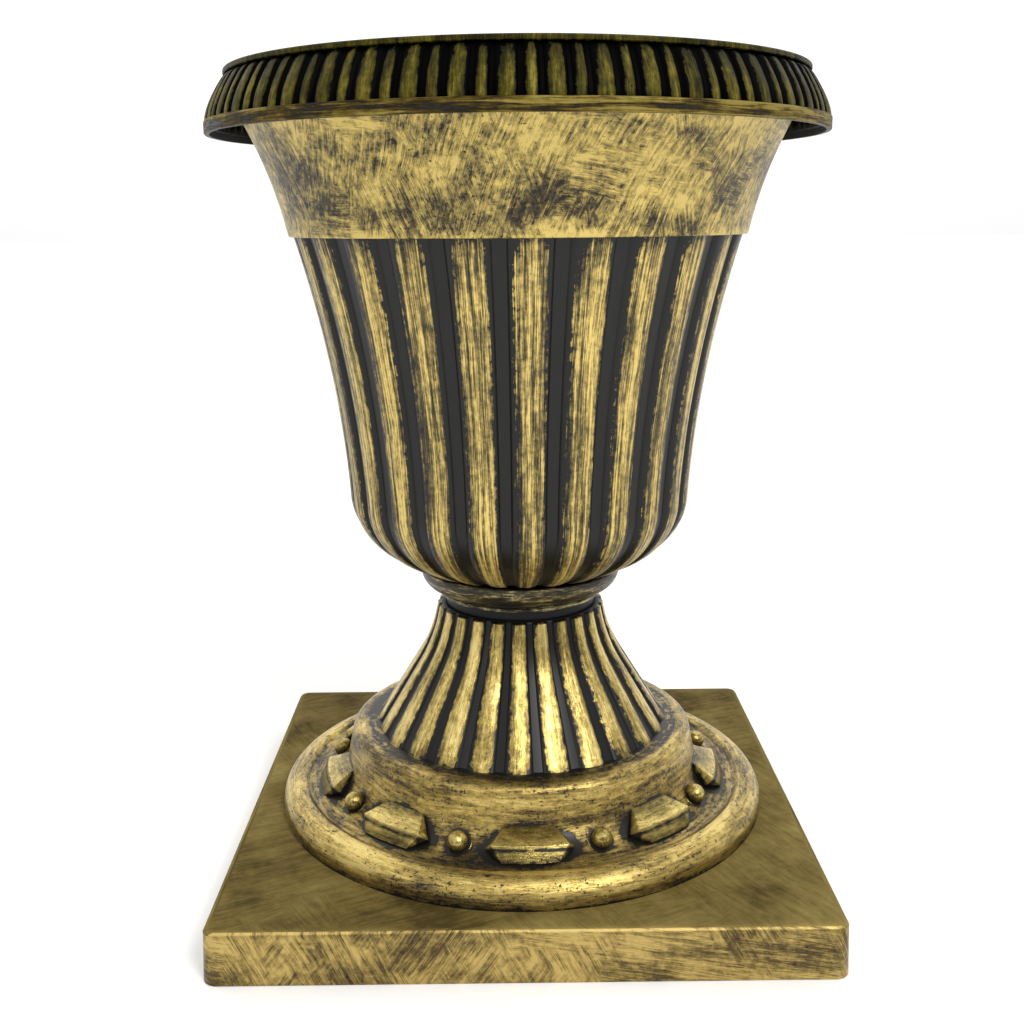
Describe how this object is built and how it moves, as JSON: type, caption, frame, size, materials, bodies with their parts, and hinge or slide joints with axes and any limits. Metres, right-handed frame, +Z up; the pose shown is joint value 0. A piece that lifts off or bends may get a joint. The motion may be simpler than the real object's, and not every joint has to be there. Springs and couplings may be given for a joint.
{
  "type": "urn planter",
  "caption": "Fluted pedestal urn planter: a bowl with a turned-down gadrooned lip bolted to a fluted pedestal on a square plinth.",
  "frame": {"origin": "centre of the plinth's underside, on the ground", "axes": "+Z up along the urn's axis; X and Y along the sides of the square plinth; -Y is the pictured front"},
  "size_m": [0.3032, 0.303, 0.4049],
  "materials": {
    "bowl_shell": "black moulded plastic, dry-brushed with gold paint",
    "pedestal_shell": "black moulded plastic, dry-brushed with gold paint",
    "nylon": "black moulded nylon",
    "rubber": "black moulded rubber"
  },
  "bodies": {
    "pedestal": {"pedestal": "pedestal_shell"},
    "bowl": {"bowl": "bowl_shell"},
    "bolt": {"fixing_bolt": "nylon", "sealing_washer": "rubber"},
    "flat_washer": {"flat_washer": "nylon"},
    "wing_nut": {"wing_nut": "nylon"},
    "drain_plug_1": {"drain_plug_1": "rubber"},
    "drain_plug_2": {"drain_plug_2": "rubber"},
    "drain_plug_3": {"drain_plug_3": "rubber"}
  },
  "joints": [
    {"name": "bowl_lift", "type": "slide", "parent": "pedestal", "child": "bowl", "axis": [0, 0, 1], "range_m": [0, 0.06]},
    {"name": "bolt_lift", "type": "slide", "parent": "bowl", "child": "bolt", "axis": [0, 0, 1], "range_m": [0, 0.06]},
    {"name": "washer_drop", "type": "slide", "parent": "pedestal", "child": "flat_washer", "axis": [0, 0, -1], "range_m": [0, 0.0221]},
    {"name": "nut_spin", "type": "hinge", "parent": "flat_washer", "child": "wing_nut", "pos_m": [0, 0, 0.1199], "axis": [0, 0, -1], "range_deg": [0, 2640]},
    {"name": "drain_plug_1_pull", "type": "slide", "parent": "bowl", "child": "drain_plug_1", "axis": [0, 0, 1], "range_m": [0, 0.03]},
    {"name": "drain_plug_2_pull", "type": "slide", "parent": "bowl", "child": "drain_plug_2", "axis": [0, 0, 1], "range_m": [0, 0.03]},
    {"name": "drain_plug_3_pull", "type": "slide", "parent": "bowl", "child": "drain_plug_3", "axis": [0, 0, 1], "range_m": [0, 0.03]}
  ],
  "couplings": [
    {"joint": "washer_drop", "follows": "nut_spin", "m_per_rad": 0.00047746}
  ]
}
